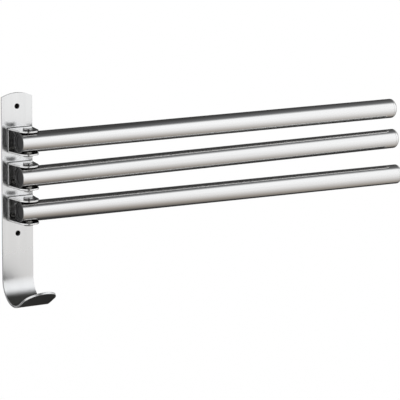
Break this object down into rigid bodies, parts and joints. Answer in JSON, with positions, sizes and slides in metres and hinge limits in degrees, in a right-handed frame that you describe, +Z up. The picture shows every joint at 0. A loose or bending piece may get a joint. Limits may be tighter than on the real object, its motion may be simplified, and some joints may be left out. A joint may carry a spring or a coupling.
{
  "type": "swing arm towel bar",
  "caption": "Wall-mounted steel towel rack: a flat strip with a bent hook at its foot carries round bars that swing sideways on riveted sheet metal brackets.",
  "frame": {"origin": "midway between the two screw holes, on the back face of the wall strip", "axes": "+X to the right along the wall, the way the bars point at rest; +Y into the wall; +Z up"},
  "size_m": [0.4205, 0.0574, 0.1952],
  "materials": {
    "strip_steel": "satin brushed stainless sheet, grain along the strip",
    "sheet_steel": "satin stainless sheet, bright sheared edges",
    "rivet_steel": "bright turned steel",
    "tube_steel": "brushed stainless tube, grain along the bar",
    "black_nylon": "moulded black nylon",
    "white_nylon": "moulded natural nylon"
  },
  "bodies": {
    "frame": {"wall_plate": "strip_steel", "upper_bracket": "sheet_steel", "middle_bracket": "sheet_steel", "lower_bracket": "sheet_steel", "upper_rivet": "rivet_steel", "middle_rivet": "rivet_steel", "lower_rivet": "rivet_steel", "upper_washer": "rivet_steel", "middle_washer": "rivet_steel", "lower_washer": "rivet_steel"},
    "upper_arm": {"upper_bar": "tube_steel", "upper_end_cap": "tube_steel", "upper_hinge_plug": "black_nylon", "upper_bush": "white_nylon"},
    "middle_arm": {"middle_bar": "tube_steel", "middle_end_cap": "tube_steel", "middle_hinge_plug": "black_nylon", "middle_bush": "white_nylon"},
    "lower_arm": {"lower_bar": "tube_steel", "lower_end_cap": "tube_steel", "lower_hinge_plug": "black_nylon", "lower_bush": "white_nylon"}
  },
  "joints": [
    {"name": "upper_swing", "type": "hinge", "parent": "frame", "child": "upper_arm", "pos_m": [0.002, -0.0197, 0.0285], "axis": [0, 0, -1], "range_deg": [-0.3, 179.7]},
    {"name": "middle_swing", "type": "hinge", "parent": "frame", "child": "middle_arm", "pos_m": [0.002, -0.0197, -0.0035], "axis": [0.0065, 0, -1], "range_deg": [-1, 179]},
    {"name": "lower_swing", "type": "hinge", "parent": "frame", "child": "lower_arm", "pos_m": [0.002, -0.0197, -0.0355], "axis": [0, 0, -1], "range_deg": [-2, 178]}
  ]
}
